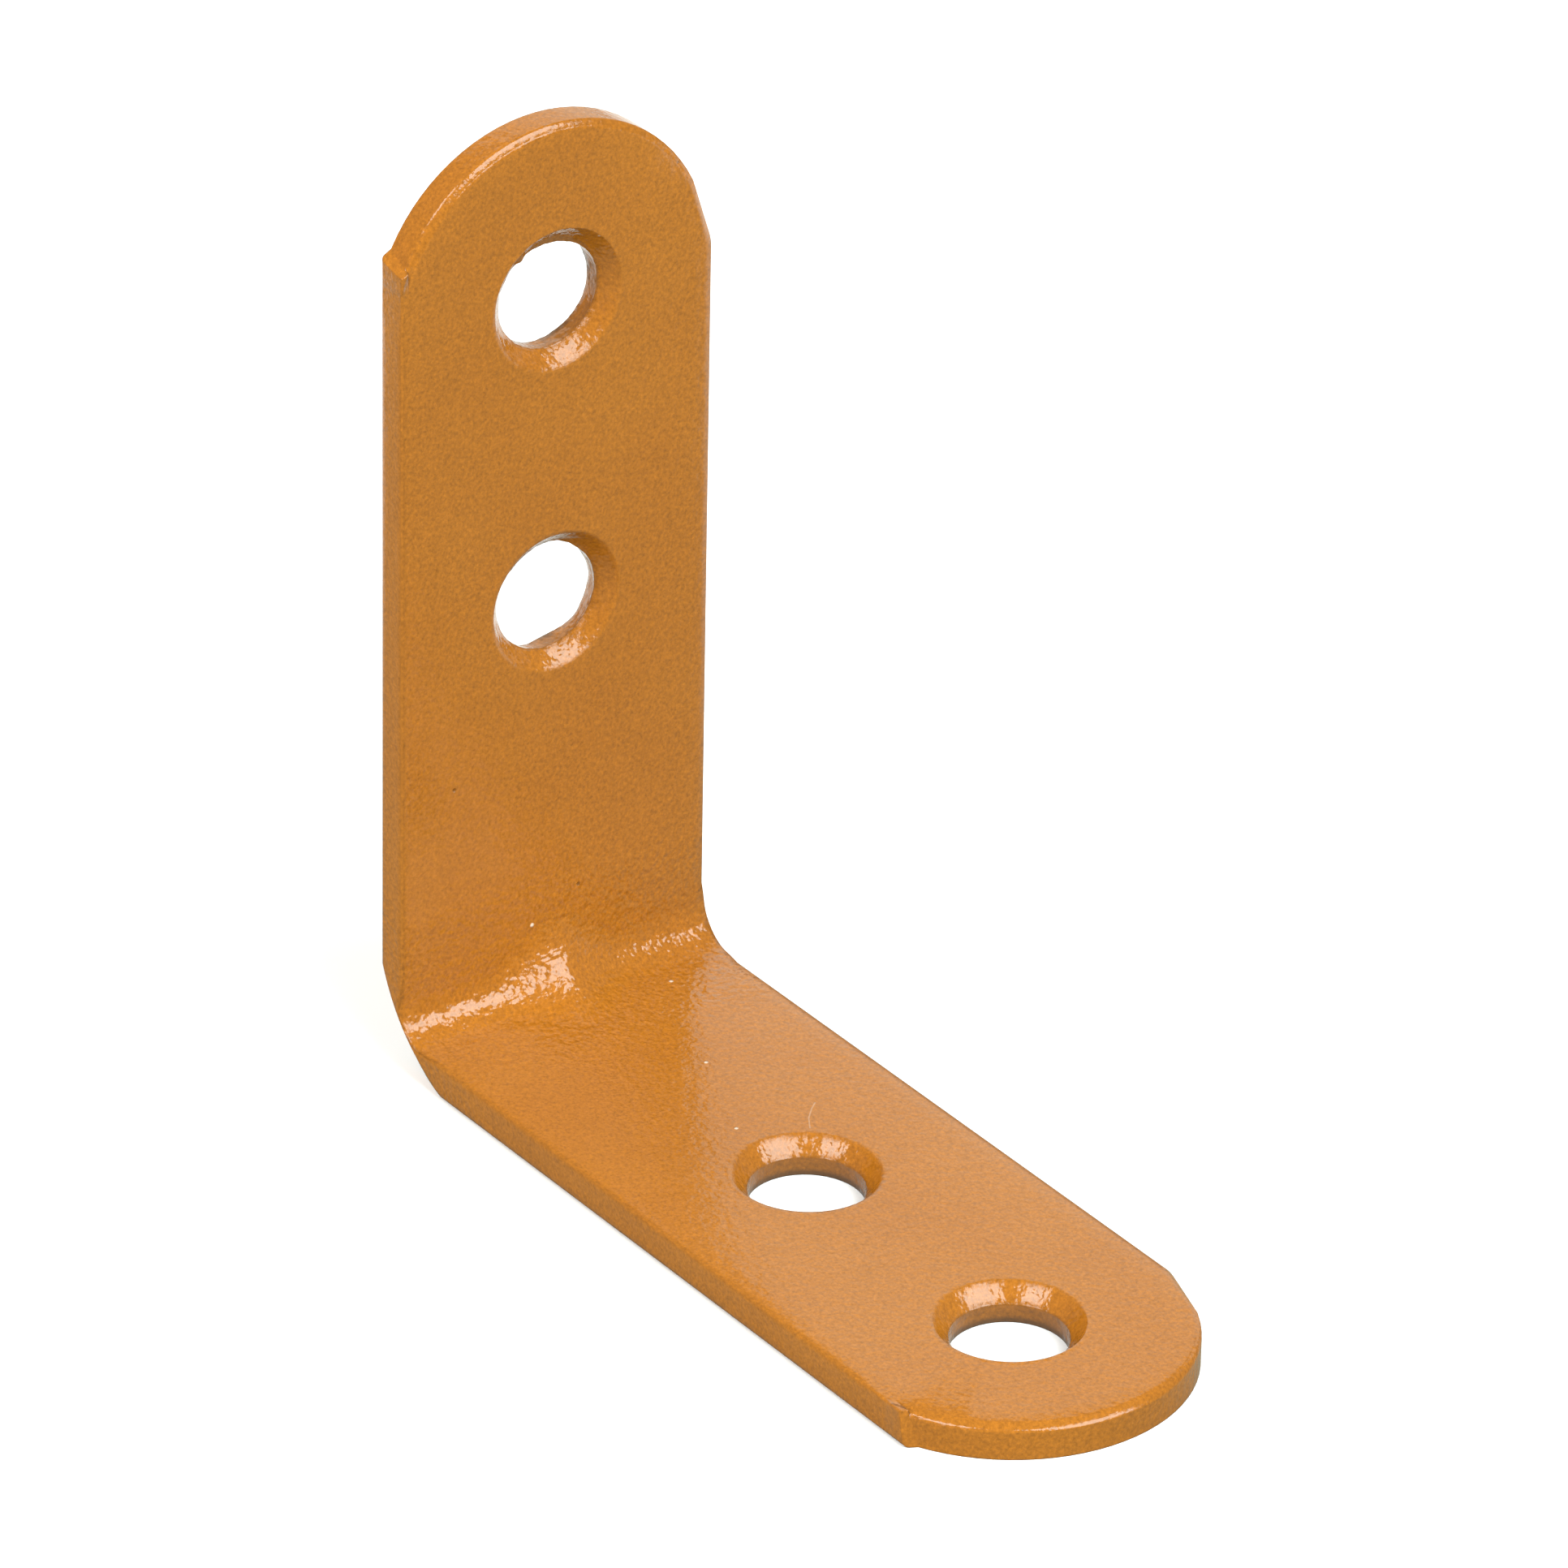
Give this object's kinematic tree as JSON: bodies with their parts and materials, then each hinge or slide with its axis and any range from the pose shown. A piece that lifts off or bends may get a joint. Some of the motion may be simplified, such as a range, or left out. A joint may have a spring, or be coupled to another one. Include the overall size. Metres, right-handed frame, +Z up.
{
  "type": "corner brace bracket",
  "caption": "Right-angle corner brace of painted strip steel, with round ends, countersunk screw holes and a rib pressed into the fold.",
  "frame": {"origin": "middle of the footprint: half the leg's length from the upright leg's back, centred on the strip's width, on the plane of the lower leg's underside", "axes": "+Z up along the upright leg, +X along the lower leg towards its round end, +Y across the strip"},
  "size_m": [0.05, 0.0188, 0.05],
  "materials": {
    "paint": "glossy ochre-orange enamel with a fine orange-peel texture"
  },
  "bodies": {
    "root": {"bracket": "paint"}
  },
  "joints": []
}
